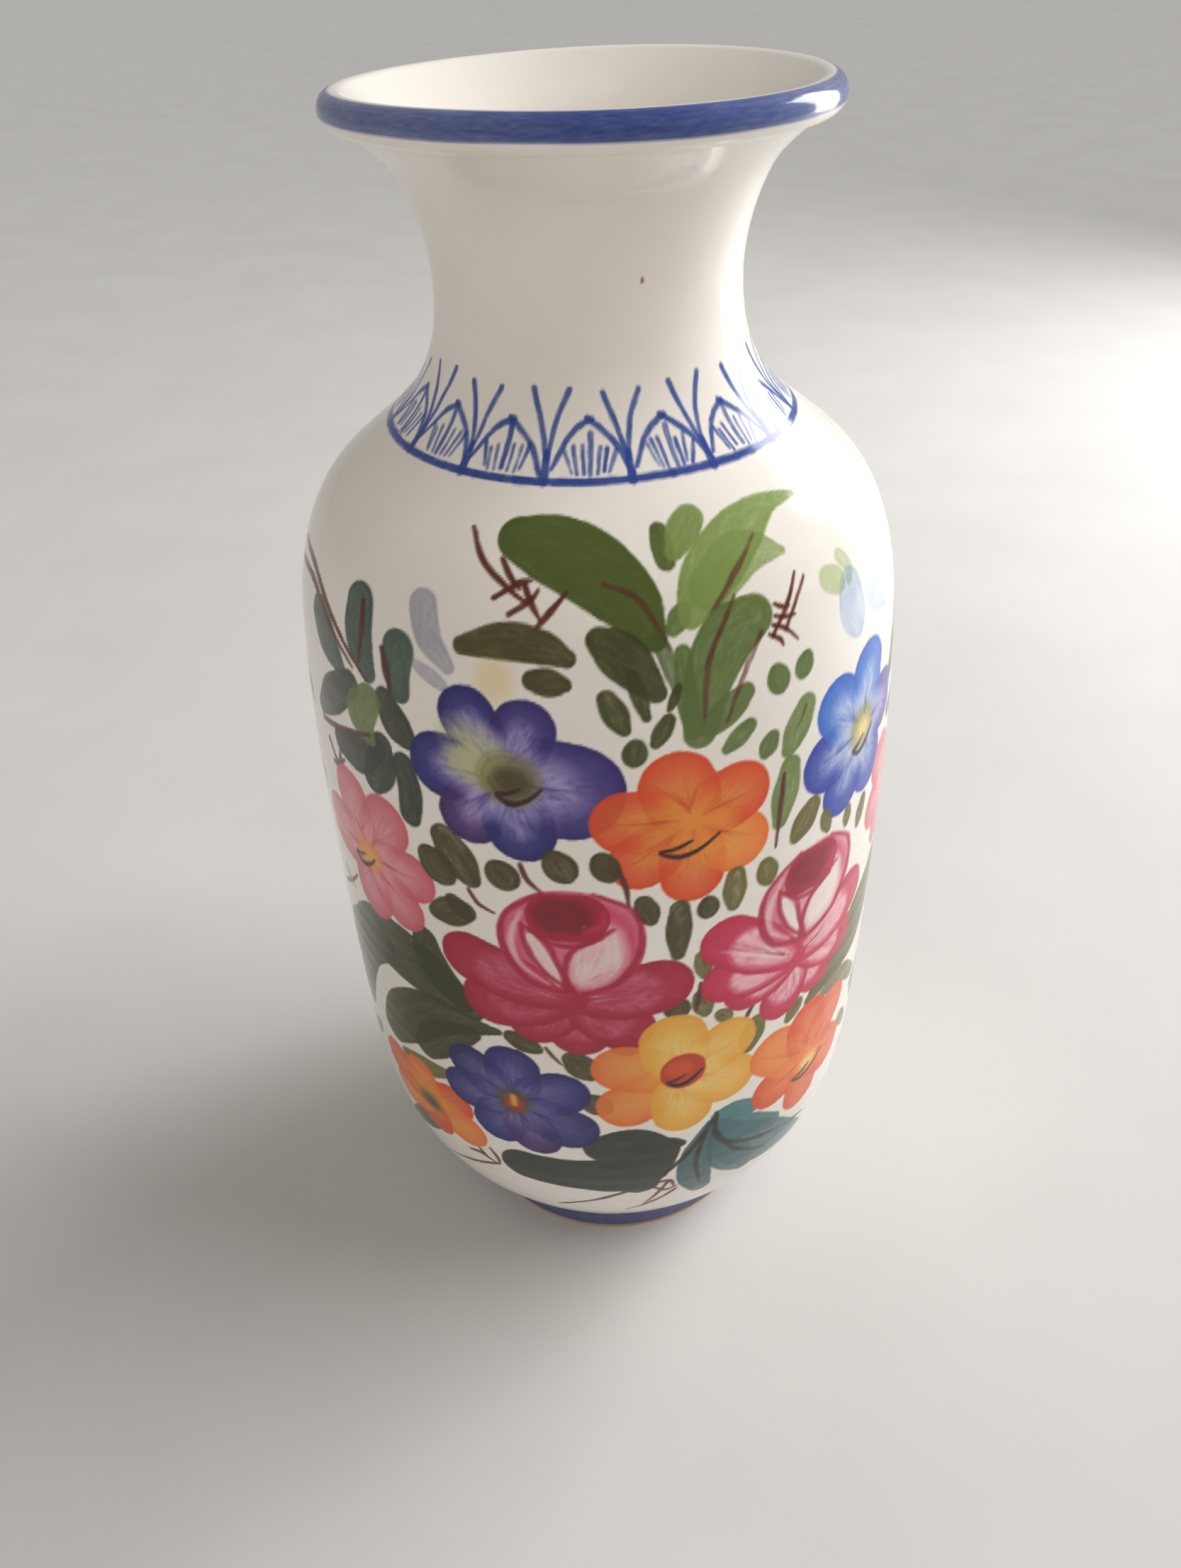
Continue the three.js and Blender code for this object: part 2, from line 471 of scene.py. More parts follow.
def rosebud(sheet, place, wide, tall, tilt, shade):
    """The closed head of a rose: a washed globe, scraped lights, folded outlines and a dark eye."""
    lean = math.radians(tilt)

    def local(right, up):
        x = right * wide / BUD_WIDTH
        y = up * tall / BUD_HEIGHT
        across = x * math.cos(lean) + y * math.sin(lean)
        return beside(place, across, y * math.cos(lean) - x * math.sin(lean))

    def stroke(line, widths, colour, **look):
        brush(sheet, [local(*point) for point in line], widths, colour, **look)

    # shade thickens the rose wash and the dark eye and thins the white lights: painted shade on top of the
    # bud's own colour.
    blob(sheet, place, wide, tall, ROSE, opacity=0.34 + 0.35 * shade, edge=0.5, streak=0.35)
    left_side = [(0, -12), (-8.4, -9), (-11.8, -1), (-10, 6), (-3, 11.5)]
    right_side = [(2, -11.5), (9, -8), (12, 0), (10, 7), (4, 11.5)]
    for side in (left_side, right_side):
        stroke(side, [2, 3, 2.6], ROSE, opacity=0.5, soft=2.2, streak=0.6)
    stroke([(2.6, -10.5), (5.4, -5), (7.4, 2.2)], [4.2, 11, 6], WHITE, opacity=0.9 - 0.25 * shade,
           soft=2.6, streak=0.5)
    stroke([(-2.6, -11.5), (-5.8, -5), (-8, 1.6)], [1.2, 4.2, 1.8], WHITE, opacity=0.92 - 0.2 * shade)
    stroke([(-5, -11.5), (-11, -6), (-12, 1), (-9.6, 8)], [0.6, 1.5, 1.6, 0.8], WHITE, opacity=0.6,
           soft=0.9)
    folds = [
        ([(-1, -14), (-9.5, -10.8), (-14, -2), (-12.8, 7), (-5, 13.6)], [1.0, 1.9, 1.7, 1.1]),
        ([(2, -14), (10, -9.8), (14.2, 0), (12.6, 9), (5, 13.8)], [1.2, 2.0, 1.5, 1.1]),
        ([(0, -13.5), (-6, -7.5), (-9.2, -0.5), (-9.8, 5)], [0.8, 1.5, 1.6, 1.1]),
        ([(0.5, -14), (-2.6, -6), (-4.6, 0), (-9, 4.2)], [1.1, 1.6, 1.4, 1.0]),
        ([(-1.2, -13.5), (-1.2, -6), (0.8, -1), (6.2, 2.2)], [1.1, 1.6, 1.5, 1.3]),
        ([(-8, 4), (-4, 0.4), (2, 0.2), (8.6, 4.4)], [1.2, 1.5, 1.5, 1.2]),
    ]
    for fold, widths in folds:
        stroke(fold, [0.85 * width for width in widths], CRIMSON, opacity=0.8, streak=0.5, soft=0.7)
    eye = local(-0.3, 7.4)
    blob(sheet, eye, wide * 0.56, tall * 0.44, CRIMSON, tilt=tilt, opacity=0.96, edge=0.1)
    blob(sheet, local(-1.2, 7.9), wide * 0.4, tall * 0.3, WINE, tilt=tilt,
         opacity=0.4 + 0.45 * shade, soft=2)
    stroke([(3, 4), (6.4, 5.6), (7, 9)], [0.8, 1.4, 0.8], ROSE, opacity=0.7, soft=0.9)


def rose(sheet, place, wide, tall, tilt, base, petals, shade):
    """A rose seen from the side: loose lower petals round its base, then the bud over them.

    shade runs from 0 for a rose with white lights to 1 for a plain crimson one. It is partly the rose's own
    crimson and partly painted shade: it deepens the petals and dims the blush and white lights.
    """
    for degrees, up, radius in petals:
        tip = (degrees, up)
        lit = between(base, tip, 0.72)
        # shade moves the petal from rose to crimson and dims the blush and white streaks: partly painted
        # shade.
        petal(sheet, base, tip, radius, ROSE * (1 - shade) + CRIMSON * shade, hollow=0.15)
        brush(sheet, [between(base, tip, 0.12), between(base, tip, 0.45), lit],
              [radius * 0.5, radius * 1.2, radius * 1.5], BLUSH, load=(0.7, 1),
              opacity=0.06 + 0.8 * (1 - shade), edge=0, streak=0.9, soft=radius * 0.3, fan=base)
        streaks(sheet, base, lit, radius, WHITE, 4, width=1.6, opacity=0.75 * (1 - shade))
        streaks(sheet, base, tip, radius, CRIMSON, 3, width=0.8, opacity=0.4, start=0.14)
    rosebud(sheet, place, wide, tall, tilt, shade)


def leaf(sheet, points, widths, colour, opacity=0.9, vein=None, **look):
    """A leaf is one full, pressed stroke; vein is the brown line drawn over it afterwards."""
    brush(sheet, points, widths, colour, opacity=opacity, edge=0.3, streak=0.38, **look)
    if vein:
        brush(sheet, vein, [0.9, 1.1, 0.6], BROWN, opacity=0.55, streak=0.5)


def hatch(sheet, lines, width=0.9, colour=BROWN):
    """Quick thin lines, such as twigs and tendrils."""
    for line in lines:
        brush(sheet, line, [width, width * 1.2, width * 0.6], colour, opacity=0.9, streak=0.45)


def dabs(sheet, strokes, colour, vein=False):
    """Single presses of the brush; each is (start, end, width)."""
    for start, end, width in strokes:
        middle = between(start, end, 0.5)
        widths = [width * 0.75, width, width * 0.55]
        brush(sheet, [start, middle, end], widths, colour, edge=0.5, streak=0.6, hollow=0.12)
        if vein and random.random() < VEINED_SHARE:
            brush(sheet, [start, beside(middle, jitter(0.4), 0)], [0.7, 0.5], BROWN, opacity=0.5)


# The border at the crease: how many arches go round, and where they start, in degrees.
ARCHES = 16
FIRST_JOINT = 10
HATCH_SHARES = (-0.55, -0.4, -0.22, 0.0, 0.2, 0.38, 0.55)


def neck_border(sheet, crease):
    """Pointed arches on a ring at the crease, each with hatching inside and a V of strokes between."""
    half = 180 / ARCHES
    ring = [(degrees, crease + 0.7 + 0.15 * math.sin(degrees / 19)) for degrees in range(-180, 181, 4)]
    for start in range(0, len(ring) - 1, 10):
        brush(sheet, ring[start:start + 11], [1.7 + jitter(0.2), 1.45], BAND_BLUE, opacity=0.93, steps=2)
    for index in range(ARCHES):
        joint = FIRST_JOINT + 2 * half * index + jitter(0.8)
        peak = joint + half + jitter(0.9)
        rise = crease + 11.6 + jitter(0.5)
        arch(sheet, crease, peak, half, rise)
        hatching(sheet, crease, peak, half)
        brush(sheet, [(joint, crease + 0.5), (joint, crease + 6)], [1.7, 1.2], BAND_BLUE, opacity=0.85)
        fork = (joint, crease + 4.6)
        top = crease + 16.8 + jitter(0.8)
        brush(sheet, [fork, (joint - 2.4, crease + 10.5), (joint - 6, top)], [0.9, 1.0, 1.05], BAND_BLUE,
              opacity=0.8)
        brush(sheet, [fork, (joint + 1.8, crease + 11.5), (joint + 5.6, top + jitter(0.5))],
              [0.8, 0.9, 1.0], BAND_BLUE, opacity=0.75)


def arch(sheet, crease, peak, half, rise):
    """Two strokes that meet in a point over the middle of a bay of the border."""
    tall = rise - crease
    left = [(peak - half + 0.8, crease + 3), (peak - half * 0.64, crease + tall * 0.66),
            (peak - half * 0.34, crease + tall * 0.88), (peak + 0.5, rise)]
    right = [(peak - 0.8, rise + 0.2), (peak + half * 0.34, crease + tall * 0.82),
             (peak + half * 0.68, crease + tall * 0.58), (peak + half - 0.6, crease + 2)]
    brush(sheet, left, [0.7, 0.95, 1.1, 1.05], BAND_BLUE, opacity=0.8)
    brush(sheet, right, [1.05, 1.15, 1.05, 1.0], BAND_BLUE, opacity=0.8)


def hatching(sheet, crease, peak, half):
    """The short upright strokes under an arch, with the fullest in the middle."""
    for share in HATCH_SHARES:
        middle = share == 0
        tall = 5.6 * (1 - 0.45 * abs(share)) + jitter(0.7) + 2.4 * middle
        foot = (peak + half * share * 0.8 + jitter(0.4), crease + 2.4 + jitter(0.5))
        head = (peak + half * share + jitter(0.5) + 1.2 * share, foot[1] + tall)
        width = 1.1 if middle else 0.75
        brush(sheet, [foot, head], [width * 0.8, width], BAND_BLUE, opacity=0.68 + jitter(0.15), streak=0.5)


def leaves_behind(sheet):
    """The broad leaves that stand behind the flowers at both sides."""
    leaf(
        sheet, [(43, 95), (52, 101), (61, 105), (70, 113)], [3, 12, 18, 14], OLIVE * 0.84, opacity=0.92,
    )
    leaf(sheet, [(45, 92), (55, 92), (64, 84)], [2, 6, 4], OLIVE * 0.84, opacity=0.8)
    leaf(sheet, [(-27, 107), (-38, 113), (-50, 114), (-60, 110)], [6, 17, 17, 8], LEAF_DARK)
    leaf(sheet, [(-29, 109), (-35, 117), (-36, 124)], [7, 10, 7], LEAF_DARK)
    leaf(sheet, [(-50, 112), (-60, 105), (-65, 93), (-66, 80)], [10, 16, 15, 7], LEAF_DARK)
    leaf(sheet, [(-22, 102.5), (-36, 100), (-46, 91), (-53, 80.5)], [2, 12, 15, 9], LEAF_DARK)
    leaf(sheet, [(-28, 99), (-36, 92), (-41, 85)], [5, 11, 8], LEAF_DARK)
    leaf(sheet, [(-36, 79), (-43, 76), (-50, 74.5)], [3, 6.5, 3], OLIVE)
    leaf(sheet, [(-41, 58), (-47, 51), (-56, 41)], [7, 8.5, 4], BROWN_GREEN)
    leaf(sheet, [(69, 168), (74, 173), (80, 184)], [4, 8, 5], SHADOW_GREEN, opacity=0.85)
    leaf(sheet, [(70, 158), (76, 160), (82, 166)], [4, 7, 4], LEAF_DARK, opacity=0.85)
    leaf(sheet, [(66, 78), (72, 80), (79, 88)], [3, 8, 5], LEAF_DARK, opacity=0.85)


def foot_leaves(sheet):
    """The dark and the teal leaves that lie along the bottom, and the thin stalks under them."""
    leaf(
        sheet, [(-20, 53.3), (-8, 53), (3, 54), (9, 60)], [12.5, 13.5, 16, 9], SHADOW_GREEN,
        opacity=0.97,
    )
    leaf(sheet, [(-2.5, 65), (3.5, 66), (9, 62)], [10, 12.5, 10], SHADOW_GREEN, opacity=0.97)
    leaf(sheet, [(0, 56), (4, 51), (4.5, 48)], [9, 12, 8], SHADOW_GREEN, opacity=0.97)
    leaf(sheet, [(6, 64), (10, 64.5), (13.5, 64)], [7, 6, 2.5], SHADOW_GREEN, opacity=0.97)
    leaf(sheet, [(21, 70.5), (25, 70.5), (29.5, 68.5)], [3, 6, 5.5], TEAL)
    leaf(sheet, [(23, 66), (29, 61.5), (35.5, 57)], [5, 8, 6], TEAL)
    leaf(sheet, [(22, 62), (25, 52), (30, 43)], [5, 11, 6], TEAL_GREY)
    leaf(sheet, [(20.5, 69), (25, 59), (33, 50), (46, 41)], [2, 12, 17, 7], TEAL_GREY)
    leaf(sheet, [(19.5, 69), (17, 58), (17, 48), (19, 40)], [2, 8, 9, 5.5], TEAL_GREY * 0.86)
    hatch(
        sheet,
        [
            [(21, 72), (21.5, 62), (29, 55), (48, 47)], [(20.5, 66), (26, 54), (36, 45)],
            [(20.5, 70), (13, 56), (3, 46), (-14, 34)], [(19, 66), (17, 55), (18.5, 43)],
            [(-2, 58), (6, 55), (12, 57)],
        ],
        1.2, SHADOW_GREEN * 0.8,
    )
    hatch(
        sheet,
        [
            [(8.6, 48.5), (11.5, 48), (12.5, 44.5)], [(8, 46), (10.5, 43.5), (13, 44.5)],
            [(13, 43), (8, 37), (2, 32)], [(11, 48), (9.5, 44), (6, 36)],
            [(-28, 55.5), (-26.5, 52), (-26.5, 49)], [(-31, 53), (-29.5, 50.5), (-28, 49.5)],
            [(-34, 50), (-31, 51), (-27, 49)], [(-27, 49), (-34, 44), (-43, 38)],
        ],
    )


def top_spray(sheet):
    """The big leaves that fan up to the shoulder, with twigs and loose dabs round them."""
    leaf(
        sheet, [(-15.2, 217), (-8, 215.3), (-1, 211.8), (5.5, 205.6), (9, 199)],
        [8.5, 13, 13.5, 10.5, 4.5], LEAF, opacity=0.97, vein=[(1, 209), (7, 206), (11.5, 197)],
    )
    leaf(sheet, [(0, 199.5), (4, 196), (8.8, 189.5)], [5, 8.6, 4], LEAF_DARK * 1.15)
    leaf(sheet, [(9.6, 199), (11, 195), (12, 189.5)], [2.5, 3, 1.6], LEAF_MID * 0.8, opacity=0.7)
    leaf(sheet, [(12.7, 218), (12.6, 215), (12.8, 212)], [3, 3.8, 3.4], LEAF)
    leaf(sheet, [(20, 219.3), (17.5, 217), (14.8, 213.5)], [5.4, 6, 3.2], LEAF_LIGHT * 0.96)
    leaf(sheet, [(14.3, 203.3), (13.5, 202), (12.3, 200.4)], [3, 4, 2.8], LEAF_MID)
    leaf(
        sheet, [(15.6, 202), (20, 208), (28.5, 214.3), (38, 218), (47, 217.6)],
        [4.5, 10, 9.5, 4.6, 1.4], LEAF_LIGHT, opacity=0.9, load=(1.1, 0.7),
    )
    leaf(
        sheet, [(20, 206), (28, 211), (36.5, 209)], [8, 8.6, 1.6], LEAF_LIGHT, opacity=0.75,
        load=(1, 0.75), vein=[(19.5, 202), (25, 207.5), (32, 213.5)],
    )
    leaf(
        sheet, [(15.8, 180.5), (17.6, 190), (21.6, 197), (27, 199.6)], [6.5, 9.5, 11, 8], LEAF_MID,
        vein=[(16.5, 182), (18, 194), (24, 204)],
    )
    leaf(
        sheet, [(24, 186.3), (20.5, 183.5), (17.5, 181)], [4, 6.2, 4], LEAF_MID,
        vein=[(28, 196.5), (24, 190), (20.5, 181.5)],
    )
    leaf(sheet, [(13.5, 196), (13.8, 188), (14.8, 181)], [3, 4.2, 3.6], LEAF_MID)
    dabs(
        sheet,
        [
            ((0.8, 189), (3.4, 183), 4.8), ((5, 193), (7, 185), 3.2), ((10.6, 184), (8.4, 179.6), 3.8),
            ((5.2, 179.2), (4.8, 176.4), 4.8), ((12.4, 190), (10.8, 186), 2),
        ],
        LEAF_DARK * 1.2,
    )
    dabs(
        sheet,
        [
            ((24.5, 179.4), (20.4, 175.8), 4.2), ((29, 175.2), (27.6, 172.2), 4.4),
            ((30.2, 188), (30.8, 185), 5.2), ((36.8, 188.4), (35.4, 186), 4.6),
        ],
        LEAF_MID,
    )
    dabs(
        sheet, [((36.4, 179), (32.5, 171), 6.6), ((33, 167), (31, 155), 6.8)], LEAF_LIGHT * 0.88,
        vein=True,
    )
    hatch(
        sheet,
        [
            [(-26, 218), (-22, 212.5), (-17, 208.5), (-12, 205.5)],
            [(-18, 213), (-16, 210), (-14, 208)], [(-18.5, 206), (-14, 209), (-12, 209.5)],
            [(-15.5, 203.5), (-12, 206), (-10.5, 208)], [(-13, 208.5), (-11.5, 205.5), (-10, 203)],
            [(-10.5, 201.5), (-8.5, 204), (-5.5, 207.8)],
        ],
        1.0,
    )
    hatch(
        sheet,
        [
            [(30, 195), (34, 199.5), (37.5, 204.5)], [(33, 195.5), (36, 199.5), (39.3, 203.2)],
            [(31.5, 200.5), (33, 199.5), (34.5, 199.3)], [(30.5, 197), (33, 195.5), (35.3, 192.8)],
            [(31.2, 198.4), (33.4, 197.6), (35.4, 197.4)], [(29.5, 195.5), (31.5, 194), (32, 192.8)],
        ],
        0.75,
    )
    leaf(
        sheet, [(-23.5, 197), (-16.5, 198.8), (-10, 198.4), (-5.5, 196.4)], [3.6, 6.6, 6.2, 3.4],
        BROWN_GREEN,
    )
    dabs(sheet, [((-11, 192.3), (-6, 191.8), 5.2)], BROWN_GREEN)
    blob(sheet, (-17.5, 191.5), 7, 8, YELLOW, opacity=0.28, soft=3)
    leaf(sheet, [(-32, 202.5), (-30, 197), (-26, 192.5)], [6, 5.6, 3], GREY_BLUE, opacity=0.5)
    leaf(sheet, [(-32.5, 191.5), (-29, 190), (-26.5, 188.5)], [2, 3, 2], GREY_BLUE, opacity=0.4)


def left_cluster(sheet):
    """The blue-green leaves at the left shoulder and the brown stalks that cross them."""
    leaf(sheet, [(-47, 198.5), (-46.3, 192), (-43.5, 186)], [8, 8.4, 4.6], SAGE)
    leaf(sheet, [(-36.3, 193), (-36.6, 189), (-35.8, 185)], [7.8, 7.2, 5], SAGE)
    leaf(sheet, [(-61, 191), (-57, 187), (-52, 183)], [7, 8.5, 4], SAGE)
    leaf(sheet, [(-62, 169), (-56, 175), (-49, 181)], [4, 8.5, 6], SHADOW_GREEN * 1.15)
    leaf(sheet, [(-54, 165), (-48, 165.5), (-43, 170)], [6.5, 9, 6], SHADOW_GREEN)
    leaf(sheet, [(-44, 161.5), (-42, 165.5), (-41, 171)], [6.5, 9, 6], SHADOW_GREEN)
    leaf(sheet, [(-39.5, 182), (-37, 177.5), (-34.5, 175)], [5, 7.6, 4.4], SHADOW_GREEN)
    leaf(sheet, [(-36, 169), (-35, 163), (-35.5, 157.5)], [5.5, 6.4, 5.6], SHADOW_GREEN)
    leaf(sheet, [(-43.5, 180), (-46.5, 175.5), (-44, 171)], [7, 9, 3], LEAF_LIGHT * 0.82, opacity=0.88)
    hatch(
        sheet,
        [
            [(-78, 199), (-66, 198), (-55, 192), (-44, 184)],
            [(-77, 195), (-66, 195.5), (-57, 191), (-48, 185)], [(-62, 166), (-53, 168.5), (-44, 172)],
            [(-46, 199), (-45.5, 194), (-46, 187)], [(-40, 192), (-38.5, 188), (-38, 184)],
            [(-60, 162), (-57, 158), (-54, 160.5)], [(-59, 157), (-56.5, 158), (-55, 163)],
        ],
        1.3,
    )


def blue_flower(sheet):
    heart = (-16.5, 172)
    # The petal blues and violets here are darker than the flower blues at the right: their own colours with
    # painted shade added.
    flower(
        sheet, heart,
        [
            (-22.6, 184, 5.8), (-12.7, 182.6, 6), (-28, 172, 7), (-23, 162.4, 6.6), (-14, 160.6, 7),
            (-5.6, 170, 10.4),
        ],
        [SHADED_DEEP_BLUE, FLOWER_VIOLET * 0.8, SHADED_DEEP_BLUE, PLUM], pale=LILAC, shine=0.85, veins=SHADED_DEEP_BLUE,
    )
    glow(sheet, heart, (-25, 180), 9, PALE_GREEN, 0.95)
    glow(sheet, heart, (-26, 174), 6.5, PALE_GREEN, 0.85)
    heart_of(sheet, (-15.5, 172), 12, 11, OLIVE, BROWN_GREEN)
    smile(sheet, (-14, 167.6), 9)


def orange_flower(sheet):
    flower(
        sheet, (14.5, 162),
        [
            (3.4, 163, 7), (5.5, 153.5, 6.4), (14.5, 148.6, 6.6), (22.6, 154, 7), (22.4, 165.4, 7),
            (11.8, 170, 7.4),
        ],
        [ORANGE, ORANGE, ORANGE, LIGHT_ORANGE], pale=YELLOW, shine=0.45, veins=RUST,
    )
    blob(sheet, (15, 160), 11, 9, LIGHT_ORANGE, opacity=0.6, soft=3.5)
    smile(sheet, (14, 154.6), 12)


def sky_flower(sheet):
    heart = (53.5, 165)
    flower(
        sheet, heart,
        [
            (63.6, 165, 6.8), (57, 153.6, 6.8), (47.4, 153.8, 6.8), (42, 163, 6.8), (45.2, 174, 6.8),
            (55.8, 176.4, 7),
        ],
        [FLOWER_VIOLET, FLOWER_BLUE, FLOWER_BLUE, FLOWER_BLUE, FLOWER_SKY, FLOWER_SKY], pale=PALE_BLUE,
        shine=0.8, veins=FLOWER_BLUE,
    )
    heart_of(sheet, (53.5, 165), 10, 9, OLIVE * 1.3, PALE_YELLOW)
    smile(sheet, (53.8, 160), 8.5)


def pink_flower(sheet):
    flower(
        sheet, (-49.5, 139),
        [
            (-53, 152, 7), (-42.5, 151.4, 6.8), (-37.2, 140.4, 6.4), (-41, 130.2, 6.6),
            (-50, 127.6, 6.8), (-60, 139.5, 7.6),
        ],
        [SOFT_PINK], pale=BLUSH, shine=0.4, veins=ROSE,
    )
    heart_of(sheet, (-49.5, 139), 10, 8, LIGHT_ORANGE, YELLOW)
    smile(sheet, (-51, 135.5), 8)


def roses(sheet):
    blob(sheet, (-9, 114), 30, 12, CRIMSON, opacity=0.9, soft=1.5)
    rose(
        sheet, (-6.8, 132.5), 30.5, 29, 0, (-7, 116.5),
        [
            (-6, 106.4, 7), (-14, 108.6, 6.6), (2.2, 107.8, 6.8), (-22, 112.6, 7.4), (8.4, 119.4, 7.8),
            (-25.6, 123.8, 7.2),
        ],
        # The middle rose gets painted shade on top of its own crimson; the right one keeps its white
        # lights.
        shade=0.8,
    )
    rose(
        sheet, (40, 131), 29.5, 26.5, 4, (37.6, 113.5),
        [
            (44.4, 104.2, 6.4), (35, 102.8, 6.6), (52, 108, 5.8), (26.6, 111.4, 6.4), (22, 116.4, 6.4),
            (54, 119.4, 6.8), (21.8, 128, 6.8),
        ],
        shade=0.1,
    )


def yellow_flower(sheet):
    flower(
        sheet, (13, 90), [(2.6, 81, 7.4), (2, 94.4, 7.4)], [LIGHT_ORANGE * 0.97], pale=YELLOW,
        shine=0.3,
    )
    flower(
        sheet, (13, 90), [(13.6, 76.4, 7.2), (22.6, 83.6, 7.8), (22.4, 96.4, 7.4), (11.4, 102, 7.8)],
        [YELLOW], pale=PALE_YELLOW, shine=0.62, veins=LIGHT_ORANGE,
    )
    blob(sheet, (13.4, 90.8), 10.6, 11.6, RUST, opacity=0.93)
    blob(sheet, (12.4, 92), 6, 5, ORANGE, opacity=0.6, soft=2)
    smile(sheet, (13.8, 87), 8)


def lower_orange_flower(sheet):
    flower(
        sheet, (45, 74),
        [
            (35.2, 70.6, 6.8), (44.4, 61, 6.4), (53.2, 67.6, 7.2), (34.4, 84.6, 7.4), (43.6, 87, 7.2),
            (52.4, 83.6, 7),
        ],
        [ORANGE, ORANGE, ORANGE, LIGHT_ORANGE], pale=LIGHT_ORANGE, shine=0.6, veins=RUST,
    )
    heart_of(sheet, (45.4, 71.6), 10, 7.5, LIGHT_ORANGE, PALE_YELLOW)
    smile(sheet, (45.8, 67.2), 11.5)


def violet_flower(sheet):
    heart = (-20.5, 79)
    # These blues and this lilac are darker copies: the flower's own colours with painted shade added.
    flower(
        sheet, heart,
        [
            (-29, 87.6, 6.4), (-31, 77.6, 6.6), (-24.6, 68.6, 6.8), (-16.4, 67, 6.4), (-9.4, 72, 7.2),
            (-10.8, 85, 7.2), (-20, 91.4, 6.8),
        ],
        [SHADED_DEEP_BLUE * 0.9, SHADED_DEEP_BLUE, SHADED_DEEP_BLUE, PLUM], pale=LILAC * 0.8, shine=0.45, veins=SHADED_DEEP_BLUE,
    )
    heart_of(sheet, heart, 8, 9, BROWN_GREEN, RUST)
    blob(sheet, (-20.4, 79.4), 1.6, 4.4, YELLOW, opacity=0.8, soft=1)


def small_flowers(sheet):
    """The flowers seen at the edges of a side."""
    flower(
        sheet, (-43.5, 63),
        [(-36, 68, 6), (-34, 59, 6.4), (-43, 55, 5.6), (-52, 58, 6.2), (-54, 67, 6.6), (-45, 71, 5.6)],
        [ORANGE, LIGHT_ORANGE], pale=YELLOW, shine=0.3,
    )
    heart_of(sheet, (-44, 62), 8, 6, OLIVE, BROWN_GREEN)
    flower(
        sheet, (73, 139),
        [(66.5, 147.5, 6.8), (64.6, 137, 6.6), (70, 128.6, 6.8), (79, 132, 6.8), (78.6, 146, 6.8)],
        [SOFT_PINK], pale=BLUSH, shine=0.5,
    )
    heart_of(sheet, (73, 139), 7, 7, LIGHT_ORANGE, YELLOW)


def filling_dabs(sheet):
    """The single presses and twigs that fill the white between the flowers."""
    dabs(
        sheet,
        [
            ((-28.5, 155), (-24, 146.5), 8.8), ((-32, 148.5), (-29, 145), 8.4),
            ((-18.6, 150), (-17, 148), 7.4), ((-8.6, 154.4), (-6.8, 150.8), 6.8),
            ((-0.8, 154.4), (0.4, 150.8), 6), ((6, 143.4), (7.2, 138.6), 5.2),
            ((12.2, 140.6), (12, 128), 5.6), ((17.4, 140.4), (17.4, 137.6), 5),
            ((-26, 137), (-32, 134), 7.6), ((-28, 139), (-25.5, 136), 5),
            ((11.4, 113), (12.8, 110.4), 6), ((-19, 102), (-14.5, 99.6), 6),
            ((-7.4, 97.4), (-4.4, 92.4), 7.4), ((-4.6, 83), (-2, 80.2), 7),
            ((1.6, 103.4), (3.4, 101), 6.6),
        ],
        BROWN_GREEN * 0.92, vein=True,
    )
    dabs(
        sheet,
        [
            ((22.4, 145.6), (22.2, 137.8), 5.6), ((28.6, 145.2), (29.2, 141), 5.4),
            ((38.6, 154.4), (35, 149), 6.6), ((42.4, 150), (43.6, 145.6), 3.8),
            ((50, 146.4), (49.8, 142.6), 3.4), ((56.4, 144.5), (54.8, 138.8), 4.2),
            ((16.4, 126), (17.2, 120), 4.2), ((16.6, 114), (17.6, 108.6), 5.2),
            ((20.6, 106.6), (22.4, 104.4), 4), ((28.8, 99), (27.2, 91.6), 6.8),
            ((39.6, 97), (37.2, 93.6), 4.8),
        ],
        OLIVE * 0.95, vein=True,
    )
    dabs(
        sheet,
        [
            ((60, 72), (64, 66), 5), ((68, 74), (72, 70), 5.5), ((74, 62), (78, 66), 5),
            ((66, 56), (70, 52), 4.6), ((-66, 84), (-70, 78), 5), ((-64, 70), (-68, 64), 5),
            ((-72, 150), (-70, 143), 5), ((-74, 172), (-70, 166), 5),
        ],
        OLIVE, vein=True,
    )
    hatch(
        sheet,
        [
            [(2, 152), (3, 147.5), (3.4, 143)], [(-24.5, 143.5), (-23, 140.5), (-20, 138.8)],
            [(-14.6, 152.5), (-13.5, 149), (-11.5, 146.5)], [(31.6, 166), (31, 158), (30.4, 149)],
            [(16.4, 118), (16, 113), (15.6, 110)], [(27.6, 105), (26.8, 103.5), (26.2, 101.5)],
            [(-12.6, 100.5), (-11.4, 98), (-9.8, 95.5)], [(-67, 117), (-61, 122), (-57, 127)],
            [(-64, 124), (-62, 122), (-60, 121)],
        ],
        1.0,
    )


def brush_wipes(sheet):
    """Thin washes where the painter cleaned the brush at the right of the spray."""
    leaf(sheet, [(45, 200.5), (47, 199.5), (48.5, 198)], [5, 5.5, 2], LEAF_LIGHT * 1.15, opacity=0.42)
    leaf(sheet, [(50, 203), (51.5, 200.5), (51, 198)], [3, 3, 2], LEAF_LIGHT * 1.1, opacity=0.35)
    leaf(sheet, [(51, 197), (50.6, 192), (51.5, 188)], [7, 9, 4], FLOWER_SKY, opacity=0.24)
    leaf(sheet, [(58, 197), (60, 192), (64, 188)], [5, 8, 4], FLOWER_SKY, opacity=0.2)
    leaf(sheet, [(63, 201), (64.5, 200), (66, 199)], [3, 3.4, 2], FLOWER_SKY, opacity=0.25)


